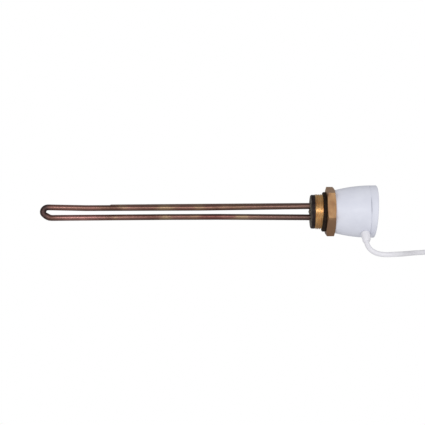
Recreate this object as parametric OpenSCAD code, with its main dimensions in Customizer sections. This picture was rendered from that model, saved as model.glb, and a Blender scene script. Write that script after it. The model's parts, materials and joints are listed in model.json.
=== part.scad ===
// Screw plug immersion heater with a rod thermostat and a mains lead.
// X runs along the heater, with the tank at -X and the terminal cap at +X.
// The origin is on the thread's axis, at the face of the gasket that meets the tank.

/* [Heating element] */
// Diameter of the element's tube
tube_d = 8; // [7:0.1:8.1]
// Distance between the centres of the two legs at the header
leg_pitch = 15.2; // [15.1:0.1:17]
// How far the upper leg is pressed in towards the lower one
upper_pinch = 1.6; // [0:0.1:1.8]
// How far the lower leg is pressed in towards the upper one
lower_pinch = 1.1; // [0:0.1:1.8]
// Reach of the hairpin into the tank
immersed_len = 383; // [330:1:440]
// Centreline radius on the tight side of the hairpin's bend
bend_r = 6.5; // [5.5:0.1:7.2]
// Turn made by the tight side of the bend
bend_turn = 150; // [135:1:165]
// Length of the tubes behind the header
tail_len = 8; // [5:0.5:12]
// Diameter of the terminal pins
pin_d = 2.4; // [2:0.1:3]
// Length of the ceramic seal on each tube's end
seal_len = 3; // [2:0.5:5]

/* [Thermostat pocket] */
// Outer diameter of the pocket tube
pocket_d = 8; // [7.2:0.1:8.8]
// Bore of the pocket tube
pocket_bore = 6.4; // [5.8:0.1:6.8]
// Reach of the pocket into the tank
pocket_len = 291; // [240:1:320]
// Pocket's place behind the heater's axis
pocket_y = 10.5; // [9.5:0.1:11.2]
// Pocket's place above the heater's axis
pocket_z = 7.5; // [7:0.1:8.8]

/* [Screw plug] */
// Outside diameter of the pipe thread
thread_d = 47.8; // [46:0.1:52]
// Length of the thread
thread_len = 10.5; // [9:0.1:16]
// Chamfer where the thread starts
thread_lead = 1; // [0.5:0.1:1.5]
// Bore of the plug
bore_d = 38; // [36:0.2:39]
// Diameter of the groove that the gasket sits in
relief_d = 44.8; // [42:0.1:45.5]
// Outside diameter of the gasket
gasket_d = 53.4; // [51:0.1:57]
// Thickness of the gasket
gasket_t = 4.8; // [3:0.1:6]
// Hexagon across its flats
hex_af = 61; // [60.6:0.1:66]
// Thickness of the hexagon
hex_t = 11.7; // [10:0.1:15]
// Turn of the hexagon about the heater's axis
hex_turn = 18; // [0:1:60]

/* [Header] */
// Diameter of the header's flange
header_d = 46; // [43:0.1:47]
// Thickness of the header's flange
header_t = 5.4; // [4:0.1:8]
// Depth of the header's spigot in the plug
spigot_len = 5; // [3:0.1:7]
// Diameter of the stud through the header
stud_d = 4; // [3:0.1:4.4]
// Diameter of the stud's domed head
stud_head_d = 5.2; // [4.8:0.1:5.3]

/* [Terminal cap] */
// Width of the cap's floor round the thermostat, which its screws go through
floor_ring_w = 6.3; // [6.2:0.1:7.4]
// Largest diameter of the cap
cap_d = 71; // [69:0.1:75]
// Radius of the cap's bowed side, seen from the side
cap_bow_r = 193; // [170:1:240]
// Length of the cap's body, from the hexagon to the seam
cap_len = 46.3; // [44:0.1:50]
// Wall of the cap
wall = 2.4; // [2:0.1:2.8]
// Length of the end cover that shows
cover_len = 10; // [8:0.1:14]
// Rounding of the end cover's edge
cover_round = 1.8; // [1:0.1:2.2]
// Depth of the end cover's skirt in the body
skirt_len = 4; // [3:0.1:5]
// Width of the groove along the seam
seam_w = 0.7; // [0.6:0.1:1.4]
// Thickness of the gasket under the cap
cap_gasket_t = 0.8; // [0.5:0.1:1.2]
// Diameter of the cap's screws
screw_d = 3.2; // [3:0.1:3.5]

/* [Thermostat] */
// Diameter of the thermostat's body
stat_d = 40.2; // [39:0.1:40.6]
// Height of the thermostat's body
stat_h = 21.5; // [20:0.1:23]
// Diameter of the thermostat's stem
stem_d = 6.2; // [5.6:0.1:6.3]
// Diameter of the setting dial
dial_d = 12.4; // [10:0.1:13]
// Height of the setting dial
dial_h = 5; // [4:0.1:7]
// Diameter of the dial's spindle
spindle_d = 4; // [3:0.1:5]

/* [Cord gland] */
// Diameter of the gland
gland_d = 12.4; // [11.6:0.1:13]
// Length of the gland's body outside the cap
gland_len = 9; // [6:0.1:11]
// Length of the gland's tapered tip
gland_tip = 2.2; // [1.5:0.1:4]
// Turn of the gland about the heater's axis, from the top towards the front
gland_turn = 146; // [130:1:180]
// Diameter of the mains lead
cord_d = 6.8; // [6.4:0.1:7.2]
// Diameter of one insulated core of the lead
core_d = 2.4; // [2:0.1:2.6]

/* [Mains plug] */
// Diameter of the mains plug
plug_d = 37; // [35:0.5:40]
// Height of the mains plug's body
plug_h = 22; // [20:0.5:26]
// Diameter of the mains pins
mains_pin_d = 4.8; // [4:0.1:4.8]
// Length of the mains pins
mains_pin_len = 19; // [17:0.5:20]
// Distance between the mains pins
mains_pin_pitch = 19; // [18:0.5:20]

/* [Hidden] */
$fn = 96;

// Clearance of a brazed, pressed or screwed joint, on the radius
fit = 0.05;
// Clearance of parts that are put together by hand, on the radius
ease = 0.2;
// Extra depth of a cut past the face that it opens
over = 1;

// Places along X
header_back = -thread_len + spigot_len;
header_face = -thread_len - header_t;
hex_face = gasket_t;
plug_back = hex_face + hex_t;
floor_x = plug_back + cap_gasket_t;
floor_top = floor_x + wall;
seam_x = plug_back + cap_len;
cap_end = seam_x + cover_len;
stat_top = plug_back + stat_h;
leg_end = header_back + tail_len;

// The element's legs and bend
tube_r = tube_d / 2;
leg_z = leg_pitch / 2;
bend_pinch = 0.4;
bend_z = leg_z - bend_pinch;
tip_x = -immersed_len + tube_r + bend_r;
rest_turn = 180 - bend_turn;
sweep_r = (2 * bend_z - bend_r * (1 + cos(rest_turn))) / (1 - cos(rest_turn));
sweep_x = tip_x + (sweep_r - bend_r) * sin(rest_turn);
leg_straight = 2;
leg_start = header_face - leg_straight;
upper_waist = [146, 52];
lower_waist = [123, 155];
braze_w = 0.9;
bend_swell = 0.01;

// The pocket
pocket_r = pocket_d / 2;
pocket_stand = 2;
pocket_open = header_back + pocket_stand;
stem_gap = 3;

// The plug and its hexagon
hex_corner_r = hex_af / sqrt(3);
chamfer_in = 0.2;
chamfer_slope = 15;
chamfer_r = hex_af / 2 - chamfer_in;
chamfer_end_r = hex_corner_r + over;
chamfer_h = (chamfer_end_r - chamfer_r) * tan(chamfer_slope);
screw_turns = [20, 200];
screw_bite = 8;
earth_turn = 100;
earth_d = 4;
earth_bite = 7;

// The cap
stat_r = stat_d / 2;
recess_r = stat_r + ease + floor_ring_w;
screw_circle_r = stat_r + ease + floor_ring_w / 2;
cap_r = cap_d / 2;
cap_drop = cap_r - wall - recess_r;
crown_x = plug_back + sqrt(2 * cap_bow_r * cap_drop - cap_drop * cap_drop);
screw_head_d = 5.8;
screw_head_h = 2.2;
snap_h = 0.4;
snap_w = 1;

// The thermostat and what it holds
well_d = 10;
well_x = plug_back + 5;
washer_d = 8.6;
washer_t = 0.8;
nut_af = 7;
nut_t = 3.2;
pin_depth = 12;
stem_depth = 5.5;
spindle_depth = 8;
dial_gap = 0.3;
clamp_w = 7;
clamp_l = 12;
clamp_h = 8;
clamp_hole_depth = 5;
clamp_screw_d = 3.4;
live_at = [stat_top, -12, 3];
neutral_at = [stat_top, 1, -13.5];

// The gland and the cord clamp, seen from the gland's own axis
cord_r = cord_d / 2;
core_r = core_d / 2;
core_ring_r = 1.5;
core_sides = 8;
cord_sides = 10;
gland_gap = 0.6;
gland_x = seam_x - gland_d / 2 - gland_gap;
gland_reach = cap_r + gland_len;
gland_end = gland_reach + gland_tip;
gland_tip_d = 9.2;
neck_d = 9.8;
flange_d = 12.8;
flange_t = 3;
saddle_w = 22;
saddle_h = 8;
saddle_r = 21;
clamp_depth = 7;
grip_gap = 0.5;
grip_t = 4.5;
grip_screw_d = 3;
grip_screw_at = 7.6;
grip_floor = 2;
sheath_end = 17;

// The earth tag
tag_t = 0.8;
tag_r = floor_ring_w / 2;
tag_reach = 7;
barrel_d = 3.8;
barrel_h = 7.5;
tag_foot_r = 2.2;

// The floor that the lead lies on, and the lead's route to the coil
floor_z = -60.5;
cord_route = [
    [59, -32.5, -48], [67, -37, -54.6], [78, -38.5, -57], [90, -36, -57], [101, -27, -57], [110, -14, -57],
    [118, -1, -57], [128, 11, -56.8], [140, 17.5, -56.4], [150, 19.5, -55.7], [160, 20, -53.8],
    [168, 20, -52], [176, 20, -50.3], [186, 20, -49.1], [196, 20, -48.8]
];
tail_route = [[196, 20, -55.6], [208, 20, -55.6], [220, 20, -54], [232, 20, -51], [242, 20, -50]];
tail_end = tail_route[len(tail_route) - 1];
coil_at = [196, -23.8];
coil_turn_r = 37;
coil_lift = 1.5;
coil_wide = 3;
coil_high = 2;
tie_w = 6;
tie_gap = 0.3;
tie_t = 1.2;
tie_turn = -50;

// The mains plug, lying on its back
plug_neck_len = 22;
plug_neck_d = 16;
plug_tail_d = 10;
plug_round = 3;
plug_rim = 2;
plug_at = [tail_end.x + plug_neck_len + plug_d / 2, tail_end.y, floor_z];
mains_shank_d = 3.6;
mains_shank_len = 12;
contact_w = 8;
contact_t = 0.8;
contact_h = 13;
contact_in = plug_d / 2 - contact_t - plug_rim;

// Turns a profile, drawn as radius across and X upwards, about the heater's axis
module turned() {
    rotate([0, 90, 0])
        rotate_extrude()
            children();
}

// Stands a shape that was drawn along Z on a point, so that it runs along X
module along_x(at) {
    translate(at)
        rotate([0, 90, 0])
            children();
}

// Places a shape at a turn about the heater's axis, with Z pointing away from it
module around(turn, x = 0) {
    rotate([turn, 0, 0])
        translate([x, 0, 0])
            children();
}

// A point at a turn about the heater's axis
function round_point(x, turn, r) = [x, -r * sin(turn), r * cos(turn)];

// Middle of the earth tag's barrel
function tag_foot(x) =
    round_point(x, earth_turn, screw_circle_r) - tag_reach * [0, cos(earth_turn), sin(earth_turn)];

// Smooth curve through a list of points
function curve_point(p, i, t) =
    let(
        a = p[max(i - 1, 0)],
        b = p[i],
        c = p[i + 1],
        d = p[min(i + 2, len(p) - 1)]
    )
    0.5 * (2 * b + (c - a) * t + (2 * a - 5 * b + 4 * c - d) * t * t + (3 * b - a - 3 * c + d) * t * t * t);
function curve(p, steps) = [
    for (i = [0 : len(p) - 2], s = [0 : steps - 1]) curve_point(p, i, s / steps),
    p[len(p) - 1]
];

// Directions along a curve, and a side direction that is carried along it
function unit(v) = v / norm(v);
function headings(p) = [
    for (i = [0 : len(p) - 1]) unit(p[min(i + 1, len(p) - 1)] - p[max(i - 1, 0)])
];
function sides_along(t, i, u) =
    i == len(t) ? [] :
    let(v = unit(u - (u * t[i]) * t[i]))
    concat([v], sides_along(t, i + 1, v));

// Tube swept along a route of points, which starts and ends in given directions
module swept_tube(route, r, sides, start, finish, steps = 2) {
    path = curve(route, steps);
    middle = headings(path);
    t = concat([unit(start)], [for (i = [1 : len(path) - 2]) middle[i]], [unit(finish)]);
    u = sides_along(t, 0, [0.31, 0.52, 0.79]);
    points = [
        for (i = [0 : len(path) - 1], k = [0 : sides - 1])
            path[i] + r * (cos(360 * k / sides) * u[i] + sin(360 * k / sides) * cross(t[i], u[i]))
    ];
    walls = [
        for (i = [0 : len(path) - 2], k = [0 : sides - 1])
            let(
                a = i * sides + k,
                b = i * sides + (k + 1) % sides
            )
            each [[a, a + sides, b + sides], [a, b + sides, b]]
    ];
    first = [for (k = [0 : sides - 1]) k];
    last = [for (k = [0 : sides - 1]) len(points) - 1 - k];
    polyhedron(points, concat(walls, [first, last]));
}

// Half-section of a disc with a rounded far edge
module rounded_section(r, x0, x1, round) {
    translate([0, x0])
        square([r - round, x1 - x0]);
    translate([0, x0])
        square([r, x1 - x0 - round]);
    translate([r - round, x1 - round])
        circle(r = round);
}

// Half-section of the cap's bowed body, drawn in from its surface
module cap_section(inset, x0, x1) {
    intersection() {
        translate([cap_r - cap_bow_r, crown_x])
            circle(r = cap_bow_r - inset, $fn = 720);
        translate([0, x0])
            square([cap_r, x1 - x0]);
    }
}

// Places of the three tubes that pass through the header
module at_tubes() {
    for (z = [-leg_z, leg_z])
        along_x([0, 0, z])
            children(0);
    along_x([0, pocket_y, pocket_z])
        children(1);
}

// Places of the two legs
module at_legs(x) {
    for (z = [-leg_z, leg_z])
        along_x([x, 0, z])
            children();
}

// Places of the cap's screws
module at_cap_screws(x) {
    for (turn = screw_turns)
        along_x(round_point(x, turn, screw_circle_r))
            children();
}

// Threaded ring with the hexagon, bored right through
module screw_plug() {
    color("darkgoldenrod")
        difference() {
            union() {
                turned()
                    polygon([
                        [0, -thread_len], [thread_d / 2 - thread_lead, -thread_len],
                        [thread_d / 2, -thread_len + thread_lead], [thread_d / 2, 0], [relief_d / 2, 0],
                        [relief_d / 2, hex_face + over], [0, hex_face + over]
                    ]);
                intersection() {
                    rotate([-hex_turn, 0, 0])
                        along_x([hex_face, 0, 0])
                            cylinder(h = hex_t, r = hex_corner_r, $fn = 6);
                    turned()
                        polygon([
                            [0, hex_face], [chamfer_r, hex_face], [chamfer_end_r, hex_face + chamfer_h],
                            [chamfer_end_r, plug_back - chamfer_h], [chamfer_r, plug_back], [0, plug_back]
                        ]);
                }
            }
            along_x([-thread_len - over, 0, 0])
                cylinder(h = plug_back + thread_len + 2 * over, d = bore_d);
            at_cap_screws(plug_back - screw_bite)
                cylinder(h = screw_bite + over, d = screw_d + 2 * fit);
            along_x(round_point(plug_back - earth_bite, earth_turn, screw_circle_r))
                cylinder(h = earth_bite + over, d = earth_d + 2 * fit);
        }
}

// Disc that closes the plug's wet end and carries the tubes
module header_disc() {
    face_round = 1.8;
    color("dimgray")
        difference() {
            union() {
                mirror([1, 0, 0])
                    turned()
                        rounded_section(header_d / 2, thread_len, -header_face, face_round);
                along_x([-thread_len - over, 0, 0])
                    cylinder(h = spigot_len + over, d = bore_d - 2 * fit);
            }
            at_tubes() {
                translate([0, 0, header_face - over])
                    cylinder(h = header_back - header_face + 2 * over, d = tube_d + 2 * fit);
                translate([0, 0, header_face - over])
                    cylinder(h = header_back - header_face + 2 * over, d = pocket_d + 2 * fit);
            }
            along_x([header_face - over, 0, 0])
                cylinder(h = header_back - header_face + 2 * over, d = stud_d + 2 * fit);
        }
}

// One arc of the hairpin's bend, in the plane of its legs
module bend_arc(x, z, r, from, turn) {
    translate([x, 0, z])
        rotate([90, 0, 0])
            rotate([0, 0, from])
                rotate_extrude(angle = turn)
                    translate([r, 0])
                        circle(d = tube_d);
}

// Barely swollen ring where two stretches of the hairpin meet
module bend_joint(x, z) {
    translate([x, 0, z])
        sphere(r = tube_r + bend_swell);
}

// Line of a leg from its end in the cap to the bend, pressed in between two places that are
// measured from the header and from the bend
function leg_line(side, pinch, waist, bend_x) = [
    [leg_end, side * leg_z], [leg_start, side * leg_z], [leg_start - waist[0], side * (leg_z - pinch)],
    [bend_x + waist[1], side * (leg_z - pinch)], [bend_x, side * bend_z]
];

// Tubes along a leg's line, with a joint at each turn
module leg(line) {
    for (i = [0 : len(line) - 2]) {
        step = line[i + 1] - line[i];
        translate([line[i].x, 0, line[i].y])
            rotate([0, atan2(step.x, step.y), 0])
                cylinder(h = norm(step), d = tube_d);
        bend_joint(line[i + 1].x, line[i + 1].y);
    }
}

// Hairpin with slightly pressed-in legs, whose bend is tight at the top and sweeps into the lower leg
module heating_element() {
    color("rosybrown")
        union() {
            leg(leg_line(1, upper_pinch, upper_waist, tip_x));
            leg(leg_line(-1, lower_pinch, lower_waist, sweep_x));
            bend_joint(tip_x - bend_r * sin(rest_turn), bend_z - bend_r * (1 + cos(rest_turn)));
            bend_arc(tip_x, bend_z - bend_r, bend_r, 90, bend_turn);
            bend_arc(sweep_x, sweep_r - bend_z, sweep_r, 90 + bend_turn, rest_turn);
        }
}

// Closed tube beside the hairpin, which the thermostat's stem lies in
module thermostat_pocket() {
    color("peru")
        difference() {
            union() {
                along_x([-pocket_len + pocket_r, pocket_y, pocket_z])
                    cylinder(h = pocket_open + pocket_len - pocket_r, r = pocket_r);
                translate([-pocket_len + pocket_r, pocket_y, pocket_z])
                    sphere(r = pocket_r);
            }
            along_x([-pocket_len + pocket_r, pocket_y, pocket_z])
                cylinder(h = pocket_open + pocket_len, d = pocket_bore);
        }
}

// Half-section of the fillet of braze round a tube
module braze_section(r) {
    difference() {
        translate([r, 0])
            square(braze_w);
        translate([r + braze_w, braze_w])
            circle(r = braze_w);
    }
}

// Fillets of braze where the tubes leave the header
module braze_fillets() {
    color("darkkhaki")
        translate([header_face, 0, 0])
            mirror([1, 0, 0])
                at_tubes() {
                    rotate_extrude()
                        braze_section(tube_r);
                    rotate_extrude()
                        braze_section(pocket_r);
                }
}

// Stud through the header that holds the thermostat, with a domed head on the wet side
module fixing_stud() {
    head_r = stud_head_d / 2;
    stud_stand = 2;
    stud_end = well_x + washer_t + nut_t + stud_stand;
    color("gray")
        union() {
            along_x([header_face - over, 0, 0])
                cylinder(h = stud_end - header_face + over, d = stud_d);
            intersection() {
                translate([header_face, 0, 0])
                    sphere(r = head_r);
                along_x([header_face - head_r, 0, 0])
                    cylinder(h = head_r, r = head_r);
            }
        }
}

// Rubber ring that seals the hexagon against the tank
module sealing_gasket() {
    edge_round = 1.4;
    color("black")
        turned()
            difference() {
                union() {
                    square([gasket_d / 2 - edge_round, gasket_t]);
                    translate([0, edge_round])
                        square([gasket_d / 2, gasket_t - 2 * edge_round]);
                    for (x = [edge_round, gasket_t - edge_round])
                        translate([gasket_d / 2 - edge_round, x])
                            circle(r = edge_round);
                }
                translate([0, -over])
                    square([relief_d / 2 + fit, gasket_t + 2 * over]);
            }
}

// Ceramic seals on the dry ends of the hairpin
module end_seals() {
    color("ivory")
        at_legs(leg_end)
            difference() {
                cylinder(h = seal_len, d = tube_d);
                translate([0, 0, -over])
                    cylinder(h = seal_len + 2 * over, d = pin_d + 2 * fit);
            }
}

// Pins that carry the current from the thermostat to the hairpin
module terminal_pins() {
    color("silver")
        at_legs(leg_end)
            cylinder(h = plug_back + pin_depth - fit - leg_end, d = pin_d);
}

// Flat seal between the plug and the cap
module cap_gasket() {
    color("darkslategray")
        difference() {
            along_x([plug_back, 0, 0])
                difference() {
                    cylinder(h = cap_gasket_t, r = recess_r - ease);
                    translate([0, 0, -over])
                        cylinder(h = cap_gasket_t + 2 * over, r = stat_r + ease);
                }
            at_cap_screws(plug_back - over)
                cylinder(h = cap_gasket_t + 2 * over, d = screw_d + 2 * ease);
            earth_window(plug_back - over, cap_gasket_t + 2 * over);
        }
}

// Window in the cap's floor that lets the earth tag lie on the plug
module earth_window(x, h) {
    tag_plate(x, h, 2 * ease);
    around(earth_turn, x)
        translate([0, -tag_reach, screw_circle_r - tag_r - 2 * ease])
            cube([h, tag_reach, 2 * tag_r + 4 * ease]);
}

// Plate of the earth tag: a ring, a tongue and the foot of the barrel
module tag_plate(x, h, grow) {
    around(earth_turn, x)
        translate([0, 0, screw_circle_r]) {
            rotate([0, 90, 0])
                cylinder(h = h, r = tag_r + grow);
            translate([0, -tag_reach, -tag_foot_r - grow])
                cube([h, tag_reach, 2 * (tag_foot_r + grow)]);
            translate([0, -tag_reach, 0])
                rotate([0, 90, 0])
                    cylinder(h = h, r = tag_foot_r + grow);
        }
}

// Seat for the cord on the inside of the cap's wall
module cord_saddle() {
    intersection() {
        around(gland_turn, gland_x)
            translate([-cord_r - saddle_h, -saddle_w / 2, saddle_r])
                cube([cord_r + saddle_h - grip_gap, saddle_w, cap_r - saddle_r]);
        turned()
            cap_section(wall / 2, floor_top, seam_x);
    }
}

// Bowed body of the terminal cap
module cap_housing() {
    color("whitesmoke")
        difference() {
            union() {
                difference() {
                    turned()
                        cap_section(0, plug_back, seam_x);
                    turned()
                        cap_section(wall, floor_top, seam_x + over);
                    turned()
                        translate([0, plug_back - over])
                            square([recess_r, cap_gasket_t + over]);
                    along_x([plug_back, 0, 0])
                        cylinder(h = wall * 3, r = stat_r + ease);
                    turned()
                        seam_groove();
                    turned()
                        snap_section(seam_x - skirt_len / 2, snap_h + ease);
                }
                cord_saddle();
            }
            at_cap_screws(plug_back)
                cylinder(h = wall * 2, d = screw_d + 2 * ease);
            earth_window(plug_back, wall * 2);
            around(gland_turn, gland_x) {
                cylinder(h = cap_r + over, d = cord_d + 2 * ease);
                translate([0, 0, cap_r - wall - flange_t - 2 * over])
                    cylinder(h = flange_t + wall, d = flange_d + 2 * ease);
                translate([0, 0, saddle_r])
                    cylinder(h = cap_r, d = neck_d + 2 * fit);
                for (y = [-grip_screw_at, grip_screw_at])
                    translate([-cord_r - saddle_h + grip_floor, y, saddle_r + clamp_depth / 2])
                        rotate([0, 90, 0])
                            cylinder(h = cord_r + saddle_h, d = grip_screw_d + 2 * fit);
            }
        }
}

// Half-section of the groove along the seam
module seam_groove() {
    polygon([
        [cap_r + over, seam_x - seam_w / 2 - over], [cap_r + over, seam_x + seam_w / 2 + over],
        [cap_r - seam_w / 2, seam_x]
    ]);
}

// Half-section of the snap ring on the cover's skirt, or of its groove
module snap_section(x, h) {
    translate([cap_r - wall - ease - over, x - snap_w / 2])
        square([over + h, snap_w]);
}

// Screws that hold the cap to the plug
module cap_screws() {
    color("silver")
        at_cap_screws(floor_top)
            union() {
                cylinder(h = screw_head_h, d = screw_head_d);
                translate([0, 0, over - wall - cap_gasket_t - screw_bite])
                    cylinder(h = wall + cap_gasket_t + screw_bite, d = screw_d);
            }
}

// Snap-in cover that closes the cap's end
module end_cover() {
    color("white")
        difference() {
            union() {
                turned()
                    rounded_section(cap_r, seam_x, cap_end, cover_round);
                along_x([seam_x - skirt_len, 0, 0])
                    cylinder(h = skirt_len + over, r = cap_r - wall - ease);
                turned()
                    snap_section(seam_x - skirt_len / 2, snap_h);
            }
            along_x([seam_x - skirt_len - over, 0, 0])
                cylinder(h = skirt_len + over + cover_len - wall, r = cap_r - 2 * wall);
            turned()
                seam_groove();
            around(gland_turn, gland_x)
                translate([-gland_d, -flange_d / 2 - 2 * ease, cap_r / 2])
                    cube([gland_d + seam_x - gland_x, flange_d + 4 * ease, cap_r]);
        }
}

// Moulded head of the rod thermostat, which plugs on to the hairpin's pins
module thermostat_body() {
    color("darkslategray")
        difference() {
            along_x([plug_back, 0, 0])
                cylinder(h = stat_h, d = stat_d);
            along_x([well_x, 0, 0])
                cylinder(h = stat_h, d = well_d);
            along_x([plug_back - over, 0, 0])
                cylinder(h = stat_h, d = stud_d + 2 * ease);
            at_legs(plug_back - over)
                cylinder(h = pin_depth + over, d = pin_d + 2 * fit);
            along_x([plug_back - over, pocket_y, pocket_z])
                cylinder(h = stem_depth + over, d = stem_d + 2 * fit);
            along_x([stat_top - spindle_depth - over, pocket_y, pocket_z])
                cylinder(h = spindle_depth + 2 * over, d = spindle_d + 2 * fit);
        }
}

// Sensing stem, from the thermostat's head to the end of the pocket
module thermostat_stem() {
    stem_tip = -pocket_len + pocket_r + stem_gap;
    color("burlywood")
        along_x([stem_tip, pocket_y, pocket_z])
            cylinder(h = plug_back + stem_depth - stem_tip, d = stem_d);
}

// Setting dial with its spindle, which turns in the thermostat's head
module thermostat_dial() {
    slot_w = 1.2;
    color("firebrick")
        difference() {
            union() {
                along_x([stat_top + dial_gap, pocket_y, pocket_z])
                    cylinder(h = dial_h, d = dial_d);
                along_x([stat_top - spindle_depth, pocket_y, pocket_z])
                    cylinder(h = spindle_depth + dial_gap + over, d = spindle_d);
            }
            translate([stat_top + dial_gap + dial_h - slot_w, pocket_y - dial_d, pocket_z - slot_w / 2])
                cube([dial_h, 2 * dial_d, slot_w]);
        }
}

// Washer under the stud's nut
module stud_washer() {
    color("silver")
        along_x([well_x, 0, 0])
            difference() {
                cylinder(h = washer_t, d = washer_d);
                translate([0, 0, -over])
                    cylinder(h = washer_t + 2 * over, d = stud_d + 2 * fit);
            }
}

// Nut that clamps the thermostat to the plug
module stud_nut() {
    color("silver")
        along_x([well_x + washer_t, 0, 0])
            difference() {
                cylinder(h = nut_t, d = nut_af * 2 / sqrt(3), $fn = 6);
                translate([0, 0, -over])
                    cylinder(h = nut_t + 2 * over, d = stud_d + 2 * fit);
            }
}

// Places of the live and neutral clamps: the clamp's long way is Z for the first and Y for the second
module at_clamps() {
    translate(live_at)
        children();
    translate(neutral_at)
        rotate([-90, 0, 0])
            children();
}

// Brass clamps for the live and neutral cores
module terminal_clamps() {
    color("gold")
        at_clamps()
            difference() {
                translate([0, -clamp_w / 2, -clamp_l / 2])
                    cube([clamp_h, clamp_w, clamp_l]);
                along_x([clamp_h - clamp_hole_depth, 0, -clamp_l / 4])
                    cylinder(h = clamp_hole_depth + over, d = core_d + 2 * ease);
                along_x([clamp_h - clamp_hole_depth, 0, clamp_l / 4])
                    cylinder(h = clamp_hole_depth + over, d = clamp_screw_d + 2 * fit);
            }
}

// Screws of the clamps
module terminal_screws() {
    head_h = 2;
    color("silver")
        at_clamps()
            along_x([clamp_h, 0, clamp_l / 4])
                union() {
                    cylinder(h = head_h, d = clamp_l / 2 - ease);
                    translate([0, 0, over - clamp_hole_depth])
                        cylinder(h = clamp_hole_depth, d = clamp_screw_d);
                }
}

// Ring tag on the plug, with a barrel for the earth core
module earth_tag() {
    color("goldenrod")
        difference() {
            union() {
                tag_plate(plug_back, tag_t, 0);
                along_x(tag_foot(plug_back))
                    cylinder(h = barrel_h, d = barrel_d);
            }
            along_x(round_point(plug_back - over, earth_turn, screw_circle_r))
                cylinder(h = tag_t + 2 * over, d = earth_d + 2 * fit);
            along_x(tag_foot(plug_back + 2 * tag_t))
                cylinder(h = barrel_h, d = core_d + 2 * ease);
        }
}

// Screw that bonds the tag to the plug
module earth_screw() {
    head_d = 2 * (tag_r - ease);
    head_h = 2.4;
    color("silver")
        along_x(round_point(plug_back + tag_t, earth_turn, screw_circle_r))
            union() {
                cylinder(h = head_h, d = head_d);
                translate([0, 0, over - earth_bite])
                    cylinder(h = earth_bite, d = earth_d);
            }
}

// Place inside the cap where one of the three cores leaves the sheath
function core_start(k) =
    round_point(gland_x, gland_turn, sheath_end)
    + core_ring_r * [cos(120 * k), -cos(gland_turn) * sin(120 * k), -sin(gland_turn) * sin(120 * k)];

// Direction in which the cord runs into the cap
inward = -round_point(0, gland_turn, 1);

// Live core, from the sheath to its clamp
module live_core() {
    top = live_at + [clamp_h, 0, -clamp_l / 4];
    color("saddlebrown")
        swept_tube([
            core_start(0), core_start(0) + 4 * inward, top + [7, 1, -3.5], top + [2, 0, 0],
            top - [clamp_hole_depth - over, 0, 0]
        ], core_r, core_sides, inward, [-1, 0, 0], 3);
}

// Neutral core, from the sheath to its clamp
module neutral_core() {
    top = neutral_at + [clamp_h, -clamp_l / 4, 0];
    color("royalblue")
        swept_tube([
            core_start(1), core_start(1) + 3 * inward, top + [7, -1, 1.5], top + [2, 0, 0],
            top - [clamp_hole_depth - over, 0, 0]
        ], core_r, core_sides, inward, [-1, 0, 0], 3);
}

// Earth core, from the sheath past the thermostat to its tag
module earth_core() {
    tag_top = plug_back + barrel_h;
    color("yellowgreen")
        swept_tube([
            core_start(2), core_start(2) + 2 * inward, round_point(gland_x - 6, 137, sheath_end - 3.5),
            round_point(gland_x - 12, 122, sheath_end), tag_foot(stat_top), tag_foot(tag_top + 2),
            tag_foot(plug_back + 3 * tag_t)
        ], core_r, core_sides, inward, [-1, 0, 0], 3);
}

// Moulded bush that the mains lead leaves the cap through
module cord_gland() {
    color("gainsboro")
        difference() {
            union() {
                difference() {
                    around(gland_turn, gland_x) {
                        cylinder(h = gland_reach, d = gland_d);
                        translate([0, 0, gland_reach])
                            cylinder(h = gland_tip, d1 = gland_d, d2 = gland_tip_d);
                    }
                    turned()
                        cap_section(0, 0, cap_end);
                }
                intersection() {
                    around(gland_turn, gland_x)
                        translate([0, 0, cap_r - wall - flange_t])
                            cylinder(h = flange_t, d = flange_d);
                    turned()
                        cap_section(wall, 0, cap_end);
                }
                around(gland_turn, gland_x)
                    translate([0, 0, cap_r - wall - flange_t])
                        cylinder(h = flange_t + 2 * wall, d = neck_d);
            }
            around(gland_turn, gland_x)
                cylinder(h = gland_end + over, d = cord_d + 2 * fit);
        }
}

// Bar that clamps the cord on its seat
module cord_clamp() {
    color("lightgray")
        around(gland_turn, gland_x)
            difference() {
                translate([grip_gap, -saddle_w / 2, saddle_r])
                    cube([cord_r + grip_t - grip_gap, saddle_w, clamp_depth]);
                cylinder(h = cap_r, d = cord_d + 2 * fit);
                for (y = [-grip_screw_at, grip_screw_at])
                    translate([0, y, saddle_r + clamp_depth / 2])
                        rotate([0, 90, 0])
                            cylinder(h = cord_r + 2 * grip_t, d = grip_screw_d + 2 * ease);
            }
}

// Screws of the cord clamp
module clamp_screws() {
    head_h = 1.8;
    grip_len = 12;
    color("silver")
        around(gland_turn, gland_x)
            for (y = [-grip_screw_at, grip_screw_at])
                translate([cord_r + grip_t, y, saddle_r + clamp_depth / 2])
                    rotate([0, 90, 0])
                        union() {
                            cylinder(h = head_h, d = 2 * grip_screw_d - ease);
                            translate([0, 0, over - grip_len])
                                cylinder(h = grip_len, d = grip_screw_d);
                        }
}

// End of the lead's sheath, from the gland's tip to inside the cap
module cord_end() {
    color("gainsboro")
        around(gland_turn, gland_x)
            translate([0, 0, sheath_end])
                cylinder(h = gland_end - sheath_end, d = cord_d);
}

// Free length of the mains lead, from the gland to the coil
module cord() {
    color("gainsboro")
        swept_tube(
            concat([round_point(gland_x, gland_turn, gland_end)], cord_route), cord_r, cord_sides, -inward,
            [1, 0, 0]
        );
}

// Rest of the lead, wound up
module cord_coil() {
    color("gainsboro")
        translate([coil_at.x, coil_at.y, floor_z + coil_lift])
            rotate_extrude()
                translate([coil_turn_r - coil_wide * cord_r, 0])
                    square([coil_wide * cord_d, coil_high * cord_d]);
}

// Last length of the lead, from the coil to the mains plug
module cord_tail() {
    color("gainsboro")
        swept_tube(tail_route, cord_r, cord_sides, [1, 0, 0], [1, 0, 0]);
}

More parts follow.
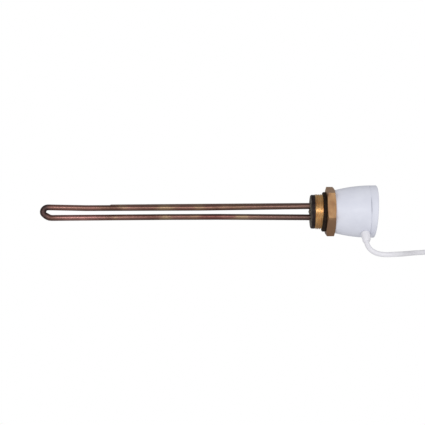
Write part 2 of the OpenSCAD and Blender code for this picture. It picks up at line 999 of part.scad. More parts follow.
// Strap round the coil
module coil_tie() {
    inside = [coil_wide * cord_d + 2 * tie_gap, tie_w + 2 * over, coil_high * cord_d + 2 * tie_gap];
    outside = [inside.x + 2 * tie_t, tie_w, inside.z + 2 * tie_t];
    color("dimgray")
        translate([coil_at.x, coil_at.y, floor_z + coil_lift + coil_high * cord_r])
            rotate([0, 0, tie_turn])
                translate([coil_turn_r, 0, 0])
                    difference() {
                        cube(outside, center = true);
                        cube(inside, center = true);
                    }
}

// Body of the earthed mains plug, with its cord neck
module mains_plug() {
    neck_z = tail_end.z - floor_z;
    color("gainsboro")
        translate(plug_at)
            difference() {
                union() {
                    rotate_extrude()
                        difference() {
                            square([plug_d / 2, plug_h]);
                            polygon([
                                [plug_d / 2 - plug_round, -over], [plug_d / 2 + over, plug_round + over],
                                [plug_d / 2 + over, -over]
                            ]);
                        }
                    translate([-plug_d / 2 - plug_neck_len, 0, neck_z])
                        rotate([0, 90, 0])
                            cylinder(h = plug_neck_len + plug_d / 4, d1 = plug_tail_d, d2 = plug_neck_d);
                }
                for (side = [0, 180])
                    rotate([0, 0, side])
                        translate([contact_in, -contact_w / 2 - ease, plug_h - contact_h])
                            cube([plug_rim + contact_t + over, contact_w + 2 * ease, contact_h + over]);
                for (y = [-mains_pin_pitch / 2, mains_pin_pitch / 2])
                    translate([0, y, plug_h - mains_shank_len])
                        cylinder(h = plug_h, d = mains_shank_d + 2 * fit);
            }
}

// Round pins of the mains plug
module mains_pins() {
    color("silver")
        translate(plug_at)
            for (y = [-mains_pin_pitch / 2, mains_pin_pitch / 2])
                translate([0, y, plug_h]) {
                    translate([0, 0, -mains_shank_len])
                        cylinder(h = mains_shank_len + over, d = mains_shank_d);
                    cylinder(h = mains_pin_len - mains_pin_d / 2, d = mains_pin_d);
                    translate([0, 0, mains_pin_len - mains_pin_d / 2])
                        sphere(d = mains_pin_d);
                }
}

// Earth contacts in the plug's two sides
module earth_contacts() {
    color("silver")
        translate(plug_at)
            for (side = [0, 180])
                rotate([0, 0, side])
                    translate([plug_d / 2 - plug_rim - contact_t, -contact_w / 2, plug_h - contact_h])
                        cube([contact_t, contact_w, contact_h]);
}

screw_plug();
header_disc();
heating_element();
thermostat_pocket();
braze_fillets();
fixing_stud();
sealing_gasket();
end_seals();
terminal_pins();
cap_gasket();
cap_housing();
cap_screws();
end_cover();
thermostat_body();
thermostat_stem();
thermostat_dial();
stud_washer();
stud_nut();
terminal_clamps();
terminal_screws();
earth_tag();
earth_screw();
live_core();
neutral_core();
earth_core();
cord_gland();
cord_clamp();
clamp_screws();
cord_end();
cord();
cord_coil();
cord_tail();
coil_tie();
mains_plug();
mains_pins();
earth_contacts();
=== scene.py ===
import json
import math

import bmesh
import bpy
from mathutils import Matrix, Vector


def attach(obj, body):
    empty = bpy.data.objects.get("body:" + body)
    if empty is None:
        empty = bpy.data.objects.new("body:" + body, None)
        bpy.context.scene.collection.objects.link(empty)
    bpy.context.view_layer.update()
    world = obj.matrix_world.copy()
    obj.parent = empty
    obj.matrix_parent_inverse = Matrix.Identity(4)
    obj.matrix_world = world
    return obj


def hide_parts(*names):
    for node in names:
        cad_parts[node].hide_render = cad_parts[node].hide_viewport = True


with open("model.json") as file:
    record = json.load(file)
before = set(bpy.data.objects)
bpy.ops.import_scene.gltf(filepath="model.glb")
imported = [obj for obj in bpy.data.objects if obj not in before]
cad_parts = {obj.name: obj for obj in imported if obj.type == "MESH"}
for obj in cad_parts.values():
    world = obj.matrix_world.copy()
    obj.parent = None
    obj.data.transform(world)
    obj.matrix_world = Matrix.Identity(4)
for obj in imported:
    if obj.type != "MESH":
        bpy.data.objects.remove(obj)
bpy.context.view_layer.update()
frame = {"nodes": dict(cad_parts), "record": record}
nodes = frame["nodes"]
scene = bpy.context.scene
scene.view_settings.view_transform = "Standard"
print("frame loaded with", len(nodes), "nodes")


def metres(point):
    return Vector(point) * 0.001  # shapes are set in millimetres


# camera, nearly level and square to the heater
shot = {"place": (-148.9, -1496, -0.55), "roll": 0.2, "lens": 93.2, "sensor": 36}
camData = bpy.data.cameras.new("shotCamera")
camData.lens = shot["lens"]
camData.sensor_width = shot["sensor"]
camera = bpy.data.objects.new("shotCamera", camData)
camera.location = metres(shot["place"])
camera.rotation_euler = (math.radians(90), math.radians(shot["roll"]), 0)
scene.collection.objects.link(camera)
scene.camera = camera
print("camera placed")


# mains lead: out of the gland, along the floor, five turns in two layers, then the plug
lead = {
    "diameter": 6.8,
    "exit": (56, -26.11, -38.72),
    "free": [
        (59, -32.5, -48), (67, -37, -54.6), (78, -38.5, -57), (90, -36, -57), (101, -27, -57),
        (110, -14, -57), (118, -1, -57), (128, 11, -56.8), (140, 17.5, -56.4), (150, 19.5, -55.7),
        (160, 20, -53.8), (168, 20, -52), (176, 20, -50.3), (186, 20, -49.1),
    ],
    "coilAt": (196, -23.8),
    "coilStart": 0.25,  # of a turn, at the back
    "turns": 5,
    "pointsPerTurn": 24,
    "radius": [  # by the turn
        (0, 43.8), (0.7, 43.8), (1, 37), (1.7, 37), (2, 30.2), (3.12, 30.2), (3.35, 37), (4.12, 37), (4.35, 43.8),
    ],
    "height": [(0, -48.8), (2.4, -48.8), (2.68, -55.6)],
    "tail": [(208, 20, -55.6), (220, 20, -54), (232, 20, -51), (242, 20, -50)],
    "length": 1.5,
    "roundness": 5,
    "stepsPerKnot": 4,
}


def eased(keys, at):  # value between keys, easing in and out
    for (u0, v0), (u1, v1) in zip(keys, keys[1:]):
        if at <= u1:
            t = max(0, (at - u0) / (u1 - u0))
            return v0 + (v1 - v0) * t * t * (3 - 2 * t)
    return keys[-1][1]


def coilPoints():
    points = []
    x, y = lead["coilAt"]
    for k in range(lead["turns"] * lead["pointsPerTurn"] + 1):
        turn = k / lead["pointsPerTurn"]
        angle = math.tau * (lead["coilStart"] - turn)
        r = eased(lead["radius"], turn)
        points.append((x + r * math.cos(angle), y + r * math.sin(angle), eased(lead["height"], turn)))
    return points


route = [lead["exit"], *lead["free"], *coilPoints(), *lead["tail"]]
leadCurve = bpy.data.curves.new("mainsLead", "CURVE")
leadCurve.dimensions = "3D"
leadCurve.bevel_depth = 1  # metres, times the radius of each knot
leadCurve.bevel_resolution = lead["roundness"]
leadCurve.resolution_u = lead["stepsPerKnot"]
leadCurve.use_fill_caps = True
spline = leadCurve.splines.new("BEZIER")
spline.bezier_points.add(len(route) - 1)
for knot, point in zip(spline.bezier_points, route):
    knot.co = metres(point)
    knot.radius = lead["diameter"] / 2000  # at 1 it would swell the curve's box by a metre
    knot.handle_left_type = knot.handle_right_type = "AUTO"
mainsLead = bpy.data.objects.new("mainsLead", leadCurve)
scene.collection.objects.link(mainsLead)
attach(mainsLead, "heater")
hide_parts("cord", "cord_coil", "cord_tail")
print("lead laid through", len(route), "points")


# node helpers
def linear(c):
    return c / 12.92 if c <= 0.04045 else ((c + 0.055) / 1.055) ** 2.4


def tone(r, g, b):  # screen colour to the shader's linear one
    return (linear(r / 255), linear(g / 255), linear(b / 255), 1)


def addNode(tree, kind, inputs=None, **settings):
    node = tree.nodes.new(kind)
    for key, value in settings.items():
        setattr(node, key, value)
    for key, value in (inputs or {}).items():
        if isinstance(value, bpy.types.NodeSocket):
            tree.links.new(value, node.inputs[key])
        else:
            node.inputs[key].default_value = value
    return node


def newGroup(name, inputs, outputs):
    tree = bpy.data.node_groups.new(name, "ShaderNodeTree")
    for label, kind, start in inputs:
        socket = tree.interface.new_socket(name=label, in_out="INPUT", socket_type=kind)
        socket.default_value = start
    for label, kind in outputs:
        tree.interface.new_socket(name=label, in_out="OUTPUT", socket_type=kind)
    return tree, addNode(tree, "NodeGroupInput"), addNode(tree, "NodeGroupOutput")


def stretchedNoise(tree, come, detail, roughness):
    coords = addNode(tree, "ShaderNodeTexCoord")
    drawn = addNode(
        tree, "ShaderNodeVectorMath", {0: coords.outputs["Object"], 1: come.outputs["Stretch"]}, operation="MULTIPLY",
    )
    noise = addNode(
        tree, "ShaderNodeTexNoise",
        {"Vector": drawn.outputs[0], "Scale": come.outputs["Scale"], "Detail": detail, "Roughness": roughness},
    )
    return noise.outputs["Fac"]


# soft stains, stretched along the piece
stainLook = {"detail": 4, "roughness": 0.55, "scale": 20, "from": 0.35, "to": 0.65}


def makeStains():
    tree, come, go = newGroup(
        "softStains",
        [
            ("Scale", "NodeSocketFloat", stainLook["scale"]), ("Stretch", "NodeSocketVector", (1, 1, 1)),
            ("From", "NodeSocketFloat", stainLook["from"]), ("To", "NodeSocketFloat", stainLook["to"]),
        ],
        [("Mask", "NodeSocketFloat")],
    )
    cloud = stretchedNoise(tree, come, stainLook["detail"], stainLook["roughness"])
    mask = addNode(
        tree, "ShaderNodeMapRange",
        {"Value": cloud, "From Min": come.outputs["From"], "From Max": come.outputs["To"]},
        interpolation_type="SMOOTHSTEP",
    )
    tree.links.new(mask.outputs["Result"], go.inputs["Mask"])
    return tree


# fine grain: moulding texture, drawing lines or turning marks, by its stretch
grainLook = {"detail": 3, "roughness": 0.6, "scale": 900, "speck": (0.45, 0.75)}


def makeGrain():
    tree, come, go = newGroup(
        "fineGrain",
        [("Scale", "NodeSocketFloat", grainLook["scale"]), ("Stretch", "NodeSocketVector", (1, 1, 1))],
        [("Height", "NodeSocketFloat"), ("Speck", "NodeSocketFloat")],
    )
    fine = stretchedNoise(tree, come, grainLook["detail"], grainLook["roughness"])
    tree.links.new(fine, go.inputs["Height"])
    tree.links.new(spanned(tree, fine, 0, 1, *grainLook["speck"]), go.inputs["Speck"])
    return tree


def useGroup(tree, group, inputs):
    return addNode(tree, "ShaderNodeGroup", inputs, node_tree=group).outputs


def mixed(tree, factor, under, top):
    return addNode(tree, "ShaderNodeMix", {"Factor": factor, 6: under, 7: top}, data_type="RGBA").outputs[2]


def spanned(tree, value, low, high, start=0, end=1):  # value from start..end to low..high
    node = addNode(
        tree, "ShaderNodeMapRange",
        {"Value": value, "From Min": start, "From Max": end, "To Min": low, "To Max": high},
    )
    return node.outputs["Result"]


def times(tree, value, share):
    return addNode(tree, "ShaderNodeMath", {0: value, 1: share}, operation="MULTIPLY").outputs[0]


def along(tree, axis):
    coords = addNode(tree, "ShaderNodeTexCoord")
    split = addNode(tree, "ShaderNodeSeparateXYZ", {0: coords.outputs["Object"]})
    return split.outputs[axis]


def newMaterial(name):
    mat = bpy.data.materials.new(name)
    mat.use_nodes = True
    return mat, mat.node_tree


def finishMaterial(mat, colour, rough, height, bump, metallic=0.0, bumpDepth=0.0002):
    tree = mat.node_tree
    shader = tree.nodes["Principled BSDF"]
    lumps = addNode(tree, "ShaderNodeBump", {"Height": height, "Strength": bump, "Distance": bumpDepth})
    tree.links.new(colour, shader.inputs["Base Color"])
    tree.links.new(rough, shader.inputs["Roughness"])
    tree.links.new(lumps.outputs["Normal"], shader.inputs["Normal"])
    shader.inputs["Metallic"].default_value = metallic
    return shader


stains = makeStains()
grain = makeGrain()


# drawn copper tube, tinted by heat in long soft patches
copperLook = {
    "dark": tone(88, 61, 52), "mid": tone(130, 98, 86), "pink": tone(191, 136, 132), "tan": tone(154, 131, 104),
    "wine": tone(108, 66, 62), "grey": tone(124, 99, 91), "burnt": tone(66, 53, 52),
    "clouds": {"Scale": 14, "Stretch": (1, 1.6, 1.6), "From": 0.3, "To": 0.7},
    "pinks": {"Scale": 19, "Stretch": (1, 1.2, 1.2), "From": 0.3, "To": 0.66},
    "tans": {"Scale": 22, "Stretch": (1, 1.4, 1.4), "From": 0.47, "To": 0.6},
    "wines": {"Scale": 16, "Stretch": (1, 2.6, 2.6), "From": 0.4, "To": 0.62},
    "lines": {"Scale": 60, "Stretch": (0.4, 40, 40)},
    # two strengths, and the two places in metres along X that they hold at
    "pinkAlong": (0.9, 0.25, -0.3, -0.25), "tanAlong": (0, 0.75, -0.31, -0.285), "tanFade": (0, 1, -0.16, -0.125),
    "wineAlong": (0, 0.8, -0.25, -0.18), "greyAlong": (0, 0.6, -0.12, -0.05), "rootAlong": (0, 0.55, -0.1, -0.02),
    "tipAlong": (0.9, 0, -0.375, -0.368),
    # heights of the legs' inner sides, and strengths on the lower and upper leg
    "legs": (-0.004, 0.004), "pinkLegs": (1, 0.35), "tanLegs": (1, 0.35), "wineLegs": (1, 0.3), "rootLegs": (1, 0),
    "lineShare": 0.14, "rough": (0.32, 0.24), "tipRough": 0.2, "bump": 0.05, "metallic": 0.9,
}


def makeCopper():
    look = copperLook
    mat, tree = newMaterial("heatedCopper")
    clouds, pinks, tans, wines = (
        useGroup(tree, stains, look[name])["Mask"] for name in ("clouds", "pinks", "tans", "wines")
    )
    lines = useGroup(tree, grain, look["lines"])
    place = along(tree, "X")
    upper = spanned(tree, along(tree, "Z"), 0, 1, *look["legs"])
    pinks = times(tree, pinks, spanned(tree, place, *look["pinkAlong"]))
    pinks = times(tree, pinks, spanned(tree, upper, *look["pinkLegs"]))
    tans = times(tree, tans, spanned(tree, place, *look["tanAlong"]))
    fade = times(tree, upper, spanned(tree, place, *look["tanFade"]))
    tans = times(tree, tans, spanned(tree, fade, *look["tanLegs"]))
    wines = times(tree, wines, spanned(tree, place, *look["wineAlong"]))
    wines = times(tree, wines, spanned(tree, upper, *look["wineLegs"]))
    greys = spanned(tree, place, *look["greyAlong"])
    roots = times(tree, spanned(tree, place, *look["rootAlong"]), spanned(tree, upper, *look["rootLegs"]))
    scored = spanned(tree, lines["Speck"], 0, look["lineShare"])
    tip = spanned(tree, place, *look["tipAlong"])
    layers = [
        (pinks, "pink"), (tans, "tan"), (wines, "wine"), (greys, "grey"), (roots, "burnt"), (scored, "dark"),
        (tip, "burnt"),
    ]
    colour = mixed(tree, clouds, look["dark"], look["mid"])
    for share, name in layers:
        colour = mixed(tree, share, colour, look[name])
    rough = addNode(
        tree, "ShaderNodeMath", {0: spanned(tree, pinks, *look["rough"]), 1: times(tree, tip, look["tipRough"])},
        operation="ADD",
    )
    finishMaterial(mat, colour, rough.outputs[0], lines["Height"], look["bump"], look["metallic"])
    return mat


# turned brass: bright where the thread is cut, browned in clouds on the hexagon, with painted shade darkening the
# hexagon towards the bottom
brassLook = {
    "cut": tone(228, 194, 142), "cutDeep": tone(210, 166, 114), "flat": tone(193, 152, 109),
    # under: painted shade for the hexagon's lower flats
    "brown": tone(166, 123, 87), "dull": tone(143, 117, 92), "under": tone(132, 99, 78),
    "clouds": {"Scale": 70, "From": 0.38, "To": 0.66},
    "dulls": {"Scale": 160, "Stretch": (2.2, 1, 1), "From": 0.54, "To": 0.74},
    "marks": {"Scale": 120, "Stretch": (30, 0.6, 0.6)},
    "threadAlong": (1, 0, 0.0005, 0.0035), "paintedShadeHeight": (0.7, 0, -0.012, -0.007),
    "dullShare": 0.5, "markShare": 0.2, "rough": (0.36, 0.3), "metallic": (0.8, 0.88), "bump": 0.1,
}


def makeBrass():
    look = brassLook
    mat, tree = newMaterial("turnedBrass")
    clouds = useGroup(tree, stains, look["clouds"])["Mask"]
    dulls = useGroup(tree, stains, look["dulls"])["Mask"]
    marks = useGroup(tree, grain, look["marks"])
    thread = spanned(tree, along(tree, "X"), *look["threadAlong"])
    flats = mixed(tree, clouds, look["flat"], look["brown"])
    flats = mixed(tree, spanned(tree, dulls, 0, look["dullShare"]), flats, look["dull"])
    flats = mixed(tree, spanned(tree, marks["Speck"], 0, look["markShare"]), flats, look["brown"])
    # painted shade: the lower flats are mixed towards the under tone by height
    flats = mixed(tree, spanned(tree, along(tree, "Z"), *look["paintedShadeHeight"]), flats, look["under"])
    colour = mixed(tree, thread, flats, mixed(tree, clouds, look["cut"], look["cutDeep"]))
    shader = finishMaterial(mat, colour, spanned(tree, thread, *look["rough"]), marks["Height"], look["bump"])
    tree.links.new(spanned(tree, thread, *look["metallic"]), shader.inputs["Metallic"])  # the browned flats are duller
    return mat


# oxidised header: lumpy face, paler than the dark rim partly in its own oxide and partly as painted light for the
# light falling on the face
headerLook = {
    # face: partly painted light, paler for the light falling on the face
    "face": tone(112, 104, 94), "pit": tone(66, 62, 58), "rim": tone(46, 35, 36), "rimDeep": tone(30, 22, 23),
    "clouds": {"Scale": 170}, "lumps": {"Scale": 300}, "paleLitFaceAlong": (1, 0, -0.0157, -0.0149), "lumpShare": 0.35,
    "rough": (0.45, 0.62), "bump": 0.6, "bumpDepth": 0.0006, "metallic": 0.25, "specular": 0.2,
}


def makeHeader():
    look = headerLook
    mat, tree = newMaterial("oxideHeader")
    clouds = useGroup(tree, stains, look["clouds"])["Mask"]
    lumps = useGroup(tree, grain, look["lumps"])
    rim = mixed(tree, clouds, look["rim"], look["rimDeep"])
    face = mixed(tree, clouds, look["face"], look["pit"])
    # partly painted light: the face part along X takes the paler face tone over the rim
    colour = mixed(tree, spanned(tree, along(tree, "X"), *look["paleLitFaceAlong"]), rim, face)
    colour = mixed(tree, spanned(tree, lumps["Speck"], 0, look["lumpShare"]), colour, look["rimDeep"])
    rough = spanned(tree, clouds, *look["rough"])
    shader = finishMaterial(mat, colour, rough, lumps["Height"], look["bump"], look["metallic"], look["bumpDepth"])
    shader.inputs["Specular IOR Level"].default_value = look["specular"]
    return mat


# moulded cap: satin, clouded a little, with painted shade as a line of grey in the seam's gap, faded out towards the
# top and weaker below
capLook = {
    "pale": tone(218, 220, 231), "shade": tone(213, 215, 227), "grey": tone(158, 161, 174),
    "clouds": {"Scale": 45}, "fine": {"Scale": 2600},
    # painted shade in the seam's gap: its reach along X and its fade by height
    "seam": 0.0628, "seamShadeReach": (1, 0, 0.0003, 0.0009),
    "seamShadeTop": (1, 0, 0.012, 0.02), "seamShadeLow": (0.18, 0.75, -0.005, 0.001),
    "rough": (0.42, 0.5), "bump": 0.06,
}


def makeCap():
    look = capLook
    mat, tree = newMaterial("satinCap")
    clouds = useGroup(tree, stains, look["clouds"])["Mask"]
    fine = useGroup(tree, grain, look["fine"])
    # painted shade: grey along the seam's gap, by distance along X, faded by height
    past = addNode(tree, "ShaderNodeMath", {0: along(tree, "X"), 1: look["seam"]}, operation="SUBTRACT")
    away = addNode(tree, "ShaderNodeMath", {0: past.outputs[0]}, operation="ABSOLUTE")
    height = along(tree, "Z")
    seam = spanned(tree, away.outputs[0], *look["seamShadeReach"])
    seam = times(tree, seam, spanned(tree, height, *look["seamShadeTop"]))
    seam = times(tree, seam, spanned(tree, height, *look["seamShadeLow"]))
    colour = mixed(tree, clouds, look["pale"], look["shade"])
    colour = mixed(tree, seam, colour, look["grey"])
    finishMaterial(mat, colour, spanned(tree, clouds, *look["rough"]), fine["Height"], look["bump"])
    return mat


# plain finishes: two tones clouded together, with their own grain
plainLooks = {
    "dullBraze": dict(
        pale=tone(136, 124, 108), deep=tone(64, 54, 47), clouds=320, grain=700,
        bump=0.5, rough=(0.42, 0.6), metallic=0.6,
    ),
    "blackRubber": dict(
        pale=tone(44, 31, 20), deep=tone(28, 20, 13), clouds=240, grain=1500,
        bump=0.25, rough=(0.62, 0.78), metallic=0, specular=0.15,
    ),
    "leadSheath": dict(
        pale=tone(232, 231, 236), deep=tone(225, 224, 230), clouds=60, grain=2400,
        bump=0.08, rough=(0.42, 0.52), metallic=0,
    ),
    "platedSteel": dict(
        pale=tone(196, 196, 194), deep=tone(164, 163, 160), clouds=300, grain=1600,
        bump=0.1, rough=(0.25, 0.38), metallic=1,
    ),
    "clampBrass": dict(
        pale=tone(212, 178, 104), deep=tone(184, 148, 82), clouds=280, grain=1600,
        bump=0.1, rough=(0.26, 0.4), metallic=1,
    ),
    "bareCeramic": dict(
        pale=tone(232, 226, 210), deep=tone(214, 206, 188), clouds=400, grain=2200,
        bump=0.2, rough=(0.6, 0.75), metallic=0,
    ),
    "statMoulding": dict(
        pale=tone(46, 45, 44), deep=tone(34, 33, 33), clouds=120, grain=2200,
        bump=0.12, rough=(0.45, 0.58), metallic=0,
    ),
    "dialMoulding": dict(
        pale=tone(178, 46, 36), deep=tone(160, 38, 30), clouds=200, grain=2200,
        bump=0.1, rough=(0.4, 0.52), metallic=0,
    ),
    "brownSleeve": dict(
        pale=tone(112, 70, 40), deep=tone(98, 60, 34), clouds=260, grain=2200,
        bump=0.08, rough=(0.38, 0.5), metallic=0,
    ),
    "blueSleeve": dict(
        pale=tone(40, 92, 178), deep=tone(34, 80, 158), clouds=260, grain=2200,
        bump=0.08, rough=(0.38, 0.5), metallic=0,
    ),
    "greenSleeve": dict(
        pale=tone(196, 202, 44), deep=tone(60, 140, 60), clouds=420, grain=2200,
        bump=0.08, rough=(0.38, 0.5), metallic=0,
    ),
    "tiePlastic": dict(
        pale=tone(62, 62, 64), deep=tone(50, 50, 52), clouds=200, grain=2200,
        bump=0.15, rough=(0.45, 0.6), metallic=0,
    ),
}
plainSpeck, plainSpecular = 0.3, 0.5


def makePlain(name, look):
    mat, tree = newMaterial(name)
    clouds = useGroup(tree, stains, {"Scale": look["clouds"]})["Mask"]
    fine = useGroup(tree, grain, {"Scale": look["grain"]})
    colour = mixed(tree, clouds, look["pale"], look["deep"])
    colour = mixed(tree, spanned(tree, fine["Speck"], 0, plainSpeck), colour, look["deep"])
    rough = spanned(tree, clouds, *look["rough"])
    shader = finishMaterial(mat, colour, rough, fine["Height"], look["bump"], look["metallic"])
    shader.inputs["Specular IOR Level"].default_value = look.get("specular", plainSpecular)
    return mat


finishes = {name: makePlain(name, look) for name, look in plainLooks.items()}
finishes["heatedCopper"] = makeCopper()
finishes["turnedBrass"] = makeBrass()
finishes["oxideHeader"] = makeHeader()
finishes["satinCap"] = makeCap()
print("materials made:", len(finishes))

slotFinish = {
    "plug_brass": "turnedBrass", "header_metal": "oxideHeader", "copper_tube": "heatedCopper", "braze": "dullBraze",
    "steel": "platedSteel", "terminal_brass": "clampBrass", "black_rubber": "blackRubber",
    "seal_ceramic": "bareCeramic", "cap_plastic": "satinCap", "stat_plastic": "statMoulding",
    "dial_plastic": "dialMoulding", "live_sleeve": "brownSleeve", "neutral_sleeve": "blueSleeve",
    "earth_sleeve": "greenSleeve", "cord_sheath": "leadSheath", "tie_plastic": "tiePlastic",
}
for part in frame["record"]["subparts"]:
    cadMesh = nodes[part["node"]].data
    cadMesh.materials.clear()
    cadMesh.materials.append(finishes[slotFinish[part["material_slot"]]])
leadCurve.materials.append(finishes["leadSheath"])
print("CAD nodes finished")


# pieces made here
mergeDist, planeDist = 1e-6, 1e-5  # metres


def addPiece(name, bm, slot, replaced, sharpAngle=30):
    mesh = bpy.data.meshes.new(name)
    bmesh.ops.remove_doubles(bm, verts=bm.verts, dist=mergeDist)
    bmesh.ops.recalc_face_normals(bm, faces=bm.faces)
    bm.to_mesh(mesh)
    bm.free()
    for face in mesh.polygons:
        face.use_smooth = True
    mesh.set_sharp_from_angle(angle=math.radians(sharpAngle))
    mesh.materials.append(finishes[slotFinish[slot]])
    piece = bpy.data.objects.new(name, mesh)
    scene.collection.objects.link(piece)
    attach(piece, "heater")
    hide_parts(replaced)


def chain(bm, points):  # open line of edges through (x, radius) points, drawn above the axis
    verts = [bm.verts.new(metres((x, 0, r))) for x, r in points]
    return verts, [bm.edges.new(pair) for pair in zip(verts, verts[1:])]


def setRadius(vert, r):
    out = Vector((0, vert.co.y, vert.co.z)).normalized() * r
    vert.co = Vector((vert.co.x, out.y, out.z))


# brass plug: helical pipe thread, gasket neck and chamfered hexagon
plug = {
    "pitch": 2.309, "depth": 1.48, "threadR": 23.9, "threadLen": 10.5, "lead": 1, "neckR": 22.3, "boreR": 19,
    "tooth": [(0.06, 1), (0.42, 0), (0.58, 0), (0.94, 1)],  # shares of the pitch and of the depth
    "spareTeeth": 2,  # at each end, cut away
    "hexFace": 4.8, "hexBack": 16.5, "hexFlat": 30.2, "hexTurn": -15.5, "hexRise": 0.35, "faceLean": 0.9,
    "chamferR": 30, "chamferSlope": 15, "steps": 96, "sharpAngle": 25,
}


def cutAcross(bm, x, **cleared):
    everything = bm.verts[:] + bm.edges[:] + bm.faces[:]
    bmesh.ops.bisect_plane(bm, geom=everything, plane_co=(x, 0, 0), plane_no=(1, 0, 0), **cleared)


def threadedCollar(bm):
    pitch, steps, spare = plug["pitch"], plug["steps"], plug["spareTeeth"]
    first = -plug["threadLen"] - spare * pitch
    teeth = math.ceil(plug["threadLen"] / pitch) + spare + 1
    points = []
    for k in range(teeth):
        for share, sunk in plug["tooth"]:
            points.append((first + (k + share) * pitch, plug["threadR"] - plug["depth"] * sunk))
    verts, edges = chain(bm, points)
    bmesh.ops.spin(
        bm, geom=verts + edges, cent=(0, 0, 0), axis=(1, 0, 0), angle=math.tau, steps=steps,
        dvec=metres((pitch / steps, 0, 0)), use_merge=False,
    )
    bmesh.ops.remove_doubles(bm, verts=bm.verts, dist=mergeDist)
    front = metres((-plug["threadLen"], 0, 0)).x
    cutAcross(bm, front, clear_inner=True)
    cutAcross(bm, 0, clear_outer=True)
    for vert in bm.verts:  # lead chamfer
        most = (plug["threadR"] - plug["lead"]) / 1000 + (vert.co.x - front)
        if vert.co.yz.length > most:
            setRadius(vert, most)
    walls = [  # from each open rim to the bore: where the wall goes along X, and its radius
        (front, [(None, "boreR")]),
        (0, [(None, "neckR"), ("hexFace", "neckR"), (None, "boreR")]),
    ]
    ends = []
    for x, wall in walls:
        rim = [e for e in bm.edges if e.is_boundary and all(abs(v.co.x - x) < planeDist for v in e.verts)]
        for place, radius in wall:
            made = bmesh.ops.extrude_edge_only(bm, edges=rim)["geom"]
            rim = [g for g in made if isinstance(g, bmesh.types.BMEdge)]
            for vert in (g for g in made if isinstance(g, bmesh.types.BMVert)):
                setRadius(vert, plug[radius] / 1000)
                if place:
                    vert.co.x = plug[place] / 1000
        ends += rim
    bmesh.ops.bridge_loops(bm, edges=ends)


def hexagonRing(bm):
    half = math.radians(30)
    turned = math.radians(plug["hexTurn"])
    boreR, rimR, flatR = plug["boreR"], plug["chamferR"], plug["hexFlat"]
    edgeR = flatR + 2  # round at first, then pulled in to the flats
    face, back = plug["hexFace"], plug["hexBack"]
    section = [(face, boreR), (face, rimR), (face, edgeR), (back, edgeR), (back, rimR), (back, boreR)]
    verts, edges = chain(bm, section)
    edges.append(bm.edges.new((verts[-1], verts[0])))
    bmesh.ops.rotate(bm, verts=verts, cent=(0, 0, 0), matrix=Matrix.Rotation(turned, 3, "X"))
    known = set(bm.verts) - set(verts)
    bmesh.ops.spin(
        bm, geom=verts + edges, cent=(0, 0, 0), axis=(1, 0, 0), angle=math.tau, steps=plug["steps"], use_merge=True,
    )
    ring = list(set(bm.verts) - known)
    for vert in ring:
        if vert.co.yz.length * 1000 < (rimR + edgeR) / 2:
            continue
        turn = math.atan2(-vert.co.y, vert.co.z) - turned
        r = flatR / math.cos(turn % (2 * half) - half)
        drop = (r - rimR) * math.tan(math.radians(plug["chamferSlope"])) / 1000
        setRadius(vert, r / 1000)
        vert.co.x += drop if vert.co.x * 1000 < (face + back) / 2 else -drop
    bmesh.ops.translate(bm, verts=ring, vec=metres((0, 0, plug["hexRise"])))  # a little out of centre


def faceLean(height):  # the face that holds the gasket is a little out of square
    return height * math.tan(math.radians(plug["faceLean"]))


def leanFace(bm):
    for vert in bm.verts:
        x = vert.co.x * 1000
        if x > plug["hexFace"] / 2:
            vert.co.x += faceLean(vert.co.z) * (plug["hexBack"] - x) / (plug["hexBack"] - plug["hexFace"])


plugBm = bmesh.new()
threadedCollar(plugBm)
hexagonRing(plugBm)
leanFace(plugBm)
addPiece("threadedPlug", plugBm, "plug_brass", "screw_plug", plug["sharpAngle"])
print("plug threaded")


# pieces bent out of their CAD solid
def bentPiece(name, node, bend, slot):
    bm = bmesh.new()
    bm.from_mesh(nodes[node].data)
    bmesh.ops.remove_doubles(bm, verts=bm.verts, dist=mergeDist)
    for vert in bm.verts:
        vert.co = bend(vert.co)
    addPiece(name, bm, slot, node)


# end cover: its end leans back a little at the bottom
cover = {"seam": 62.8, "end": 72.8, "slant": 3, "back": 0.6}


def slanted(point):
    share = max(0, (point.x * 1000 - cover["seam"]) / (cover["end"] - cover["seam"]))
    lean = point.z * math.tan(math.radians(cover["slant"])) - cover["back"] / 1000
    return point + Vector((lean * share, 0, 0))


bentPiece("slantedCover", "end_cover", slanted, "cap_plastic")

# gland: soft, so it tapers and leans after the lead
gland = {"place": 56, "turn": 146, "base": 33, "tip": 46.7, "taper": 0.14, "lean": 1.2, "stretch": 2.2, "tilt": 0.27}


def leaning(point):
    turn = math.radians(gland["turn"])
    axis = Vector((0, -math.sin(turn), math.cos(turn)))
    foot = metres((gland["place"], 0, 0))
    reach = (point - foot).dot(axis)
    share = max(0, (reach * 1000 - gland["base"]) / (gland["tip"] - gland["base"]))
    out = (point - foot - axis * reach) * (1 - gland["taper"] * share)
    longer = axis * (gland["stretch"] - gland["tilt"] * out.x * 1000) + Vector((gland["lean"], 0, 0))
    return foot + out + axis * reach + metres(longer * share)


bentPiece("leaningGland", "cord_gland", leaning, "cord_sheath")

# hairpin: pressed round, so the tube swells outside the bend and nips the gap from below
hairpin = {
    "turnX": -372.5, "turnZ": 0.7, "radius": 6.5, "tubeR": 4, "nip": [(-1, 0.5), (6, 0)], "swell": 0.14,
    "lowCut": 0.18,
}


def pressed(point):
    x, z = point.x * 1000 - hairpin["turnX"], point.z * 1000 - hairpin["turnZ"]
    reach = math.hypot(min(x, 0), z)
    off = reach - hairpin["radius"]
    if off < 0 and z < 0:
        z *= 1 - eased(hairpin["nip"], x) * min(1, -off / hairpin["tubeR"])
    elif off > 0 and x < 0:
        grows = hairpin["swell"] * (x / reach) ** 2
        if z < 0:  # less where the lower leg sweeps in
            grows -= hairpin["lowCut"] * (2 * x * z / reach ** 2) ** 2
        more = 1 + grows * off / reach
        x, z = x * more, z * more
    return metres((x + hairpin["turnX"], point.y * 1000, z + hairpin["turnZ"]))


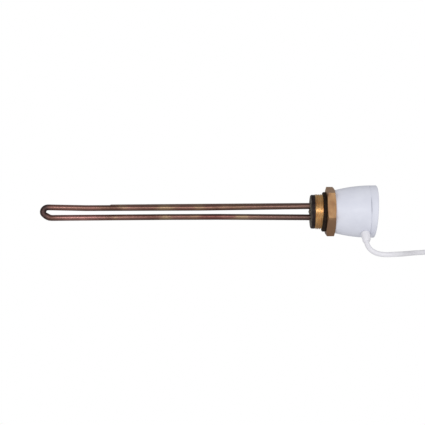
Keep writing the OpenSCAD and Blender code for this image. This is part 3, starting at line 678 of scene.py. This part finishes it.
bentPiece("pressedHairpin", "heating_element", pressed, "copper_tube")

# pocket: rises a little towards the header
pocket = {"middle": -150, "rise": 0.0043}


def rising(point):
    return point + Vector((0, 0, (point.x - pocket["middle"] / 1000) * pocket["rise"]))


bentPiece("risingPocket", "thermostat_pocket", rising, "copper_tube")

# gasket: soft, so it follows the plug's face, sags and stands away a little at the bottom
gasket = {"radius": 26.7, "wedge": 0.35, "sag": 0.45}


def sagging(point):
    front = max(0, 1 - point.x * 1000 / plug["hexFace"])
    height = point.z * 1000 / gasket["radius"]
    lean = faceLean(point.z * 1000) + gasket["wedge"] * height * front
    return point + metres((lean, 0, gasket["sag"] * min(0, height)))


bentPiece("saggingGasket", "sealing_gasket", sagging, "black_rubber")
print("cover, gland, hairpin, pocket and gasket bent")


# pale floor under the lead, a soft pale surround and one long softbox in front
stageSet = {
    "floorZ": -60.5, "size": 0.8,
    # strengths in the room's light, in reflections and for the camera; by two places where there are four numbers
    "floorGlow": {"spread": 0.75, "mirrored": (0.7, 0.28, -0.07, 0.02), "seen": 1},
    "surround": {"spread": (0.85, 0.5, -0.9, 0.5), "mirrored": (1.25, 0.36, -0.99, -0.72), "seen": 1},
    "box": {"place": (-150, -1400, 200), "long": 2.5, "high": 0.25, "power": 8},
}


def byRay(tree, spread, mirrored, seen):
    ray = addNode(tree, "ShaderNodeLightPath")
    glossy = addNode(tree, "ShaderNodeMix", {"Factor": ray.outputs["Is Glossy Ray"], "A": spread, "B": mirrored})
    shown = addNode(
        tree, "ShaderNodeMix", {"Factor": ray.outputs["Is Camera Ray"], "A": glossy.outputs[0], "B": seen},
    )
    return shown.outputs[0]


def makeFloor():
    bm = bmesh.new()
    bmesh.ops.create_grid(bm, x_segments=1, y_segments=1, size=stageSet["size"])
    bmesh.ops.translate(bm, verts=bm.verts, vec=metres((0, 0, stageSet["floorZ"])))
    mesh = bpy.data.meshes.new("paleFloor")
    bm.to_mesh(mesh)
    bm.free()
    mat, tree = newMaterial("paleFloor")
    look = stageSet["floorGlow"]
    mirrored = spanned(tree, along(tree, "Y"), *look["mirrored"])  # brightest in front of the heater
    glow = addNode(tree, "ShaderNodeEmission", {"Strength": byRay(tree, look["spread"], mirrored, look["seen"])})
    tree.links.new(glow.outputs[0], tree.nodes["Material Output"].inputs["Surface"])
    mesh.materials.append(mat)
    floor = bpy.data.objects.new("paleFloor", mesh)
    scene.collection.objects.link(floor)


def makeSurround():
    world = bpy.data.worlds.new("softSurround")
    world.use_nodes = True
    tree = world.node_tree
    look = stageSet["surround"]
    coords = addNode(tree, "ShaderNodeTexCoord")
    split = addNode(tree, "ShaderNodeSeparateXYZ", {0: coords.outputs["Generated"]})
    spread = spanned(tree, split.outputs["Y"], *look["spread"])
    mirrored = spanned(tree, split.outputs["Y"], *look["mirrored"])
    sky = tree.nodes["Background"]
    sky.inputs["Color"].default_value = (1, 1, 1, 1)
    tree.links.new(byRay(tree, spread, mirrored, look["seen"]), sky.inputs["Strength"])
    scene.world = world


def makeBox():
    look = stageSet["box"]
    light = bpy.data.lights.new("longSoftbox", "AREA")
    light.shape = "RECTANGLE"
    light.size, light.size_y = look["long"], look["high"]
    light.energy = look["power"]
    box = bpy.data.objects.new("longSoftbox", light)
    box.location = metres(look["place"])
    aim = metres((look["place"][0], 0, 0)) - box.location
    box.rotation_euler = aim.to_track_quat("-Z", "Y").to_euler()
    box.visible_camera = False
    scene.collection.objects.link(box)


makeFloor()
makeSurround()
makeBox()
print("stage lit")
